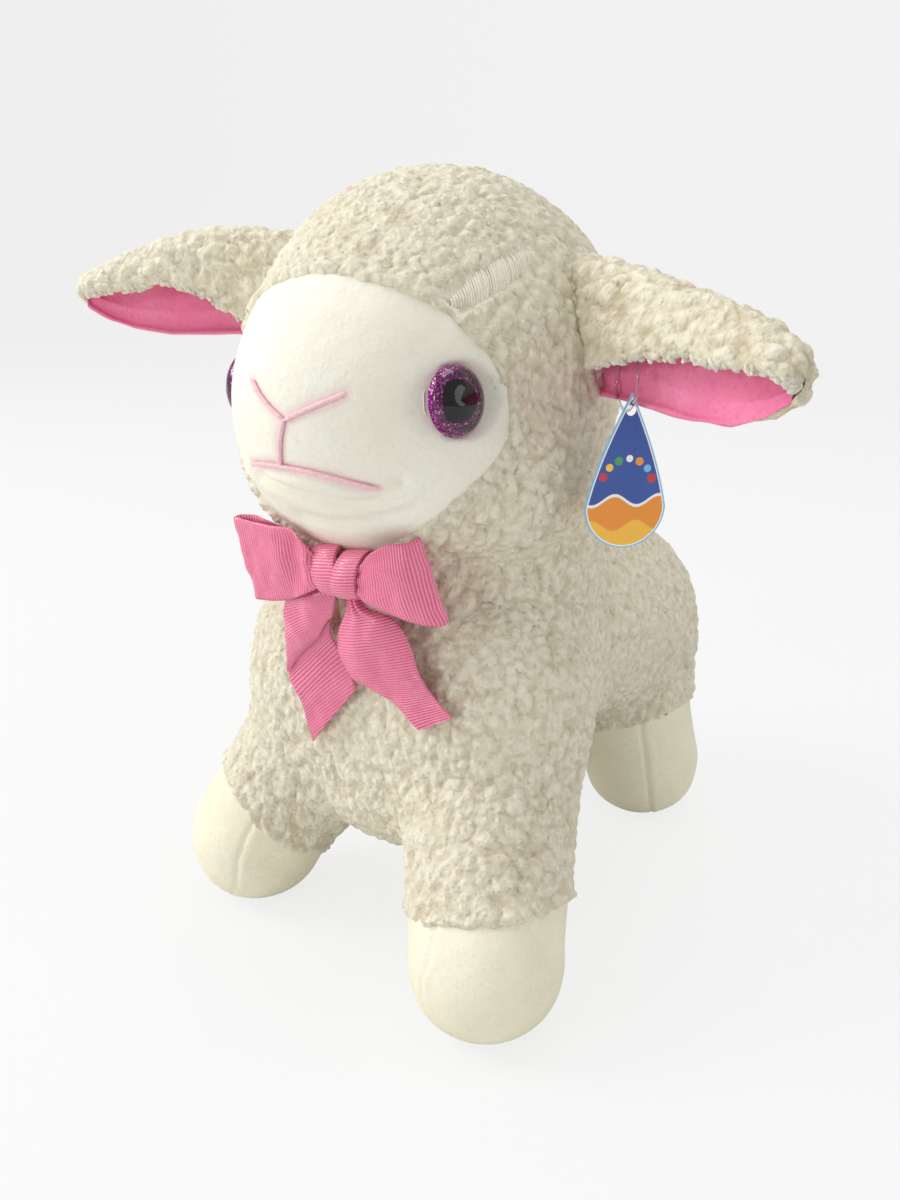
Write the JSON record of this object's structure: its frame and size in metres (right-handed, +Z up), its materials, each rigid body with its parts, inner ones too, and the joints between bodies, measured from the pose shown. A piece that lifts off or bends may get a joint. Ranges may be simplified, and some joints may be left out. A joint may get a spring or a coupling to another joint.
{
  "type": "plush lamb",
  "caption": "Standing stuffed lamb with curly fleece body, smooth face and boots, floppy folded ears, dome eyes, ribbon bow and a swinging teardrop tag.",
  "frame": {"origin": "on the floor under the centre of the overall box", "axes": "+Z up; the lamb looks along -Y; +X is the lamb's own left"},
  "size_m": [0.259, 0.2328, 0.2658],
  "materials": {
    "cream_fleece": "curly sherpa pile",
    "cream_velour": "short brushed nap",
    "white_stuffing": "loose polyester fibre",
    "pink_velour": "short glossy nap",
    "pink_ribbon": "ribbed grosgrain",
    "pink_thread": "twisted thread",
    "clear_plastic": "clear, polished",
    "purple_glitter": "printed pupil with a glitter ring",
    "white_plastic": "moulded",
    "printed_card": "coated printed card"
  },
  "bodies": {
    "torso_and_head": {"torso_skin": "cream_fleece", "torso_stuffing": "white_stuffing", "head_hood": "cream_fleece", "face_panel": "cream_velour", "head_stuffing": "white_stuffing", "left_eye": "clear_plastic", "left_eye_glitter_disc": "purple_glitter", "left_eye_washer": "white_plastic", "right_eye": "clear_plastic", "right_eye_glitter_disc": "purple_glitter", "right_eye_washer": "white_plastic", "nose_stitching": "pink_thread", "mouth_stitching": "pink_thread", "bow_left_loop": "pink_ribbon", "bow_right_loop": "pink_ribbon", "bow_knot": "pink_ribbon", "bow_tack_stitch": "pink_thread"},
    "front_left_leg": {"front_left_leg_sleeve": "cream_fleece", "front_left_foot_boot": "cream_velour", "front_left_leg_stuffing": "white_stuffing"},
    "front_right_leg": {"front_right_leg_sleeve": "cream_fleece", "front_right_foot_boot": "cream_velour", "front_right_leg_stuffing": "white_stuffing"},
    "rear_left_leg": {"rear_left_leg_sleeve": "cream_fleece", "rear_left_foot_boot": "cream_velour", "rear_left_leg_stuffing": "white_stuffing"},
    "rear_right_leg": {"rear_right_leg_sleeve": "cream_fleece", "rear_right_foot_boot": "cream_velour", "rear_right_leg_stuffing": "white_stuffing"},
    "left_ear": {"left_ear_fleece": "cream_fleece", "left_ear_lining": "pink_velour", "tag_fastener": "clear_plastic"},
    "right_ear": {"right_ear_fleece": "cream_fleece", "right_ear_lining": "pink_velour"},
    "tail": {"tail": "cream_fleece"},
    "bow_tail_left": {"bow_left_tail": "pink_ribbon"},
    "bow_tail_right": {"bow_right_tail": "pink_ribbon"},
    "hang_tag": {"hang_tag": "printed_card"}
  },
  "joints": [
    {"name": "front_left_leg_swing", "type": "hinge", "parent": "torso_and_head", "child": "front_left_leg", "pos_m": [0.03314, -0.04738, 0.074], "axis": [1, 0, 0], "range_deg": [-15, 15], "stiffness_Nm_per_rad": 0.8},
    {"name": "front_right_leg_swing", "type": "hinge", "parent": "torso_and_head", "child": "front_right_leg", "pos_m": [-0.03286, -0.04738, 0.074], "axis": [1, 0, 0], "range_deg": [-15, 15], "stiffness_Nm_per_rad": 0.8},
    {"name": "rear_left_leg_swing", "type": "hinge", "parent": "torso_and_head", "child": "rear_left_leg", "pos_m": [0.03414, 0.06662, 0.074], "axis": [1, 0, 0], "range_deg": [-15, 15], "stiffness_Nm_per_rad": 0.8},
    {"name": "rear_right_leg_swing", "type": "hinge", "parent": "torso_and_head", "child": "rear_right_leg", "pos_m": [-0.03386, 0.06662, 0.074], "axis": [1, 0, 0], "range_deg": [-15, 15], "stiffness_Nm_per_rad": 0.8},
    {"name": "left_ear_lift", "type": "hinge", "parent": "torso_and_head", "child": "left_ear", "pos_m": [0.04414, -0.03138, 0.219], "axis": [0, -1, 0], "range_deg": [-7, 30], "stiffness_Nm_per_rad": 0.05},
    {"name": "right_ear_lift", "type": "hinge", "parent": "torso_and_head", "child": "right_ear", "pos_m": [-0.04386, -0.03138, 0.219], "axis": [0, 1, 0], "range_deg": [-7, 30], "stiffness_Nm_per_rad": 0.05},
    {"name": "tail_wag", "type": "hinge", "parent": "torso_and_head", "child": "tail", "pos_m": [0.00014, 0.09832, 0.122], "axis": [1, 0, 0], "range_deg": [-20, 20], "stiffness_Nm_per_rad": 0.02},
    {"name": "left_bow_tail_lift", "type": "hinge", "parent": "torso_and_head", "child": "bow_tail_left", "pos_m": [0.00014, -0.09338, 0.1312], "axis": [-1, 0, 0], "range_deg": [0, 45], "stiffness_Nm_per_rad": 0.003},
    {"name": "right_bow_tail_lift", "type": "hinge", "parent": "torso_and_head", "child": "bow_tail_right", "pos_m": [0.00014, -0.09338, 0.1312], "axis": [-1, 0, 0], "range_deg": [0, 45], "stiffness_Nm_per_rad": 0.003},
    {"name": "tag_swing", "type": "hinge", "parent": "left_ear", "child": "hang_tag", "pos_m": [0.07814, -0.05238, 0.19785], "axis": [0.6691, -0.7431, 0], "range_deg": [-18, 18]}
  ]
}
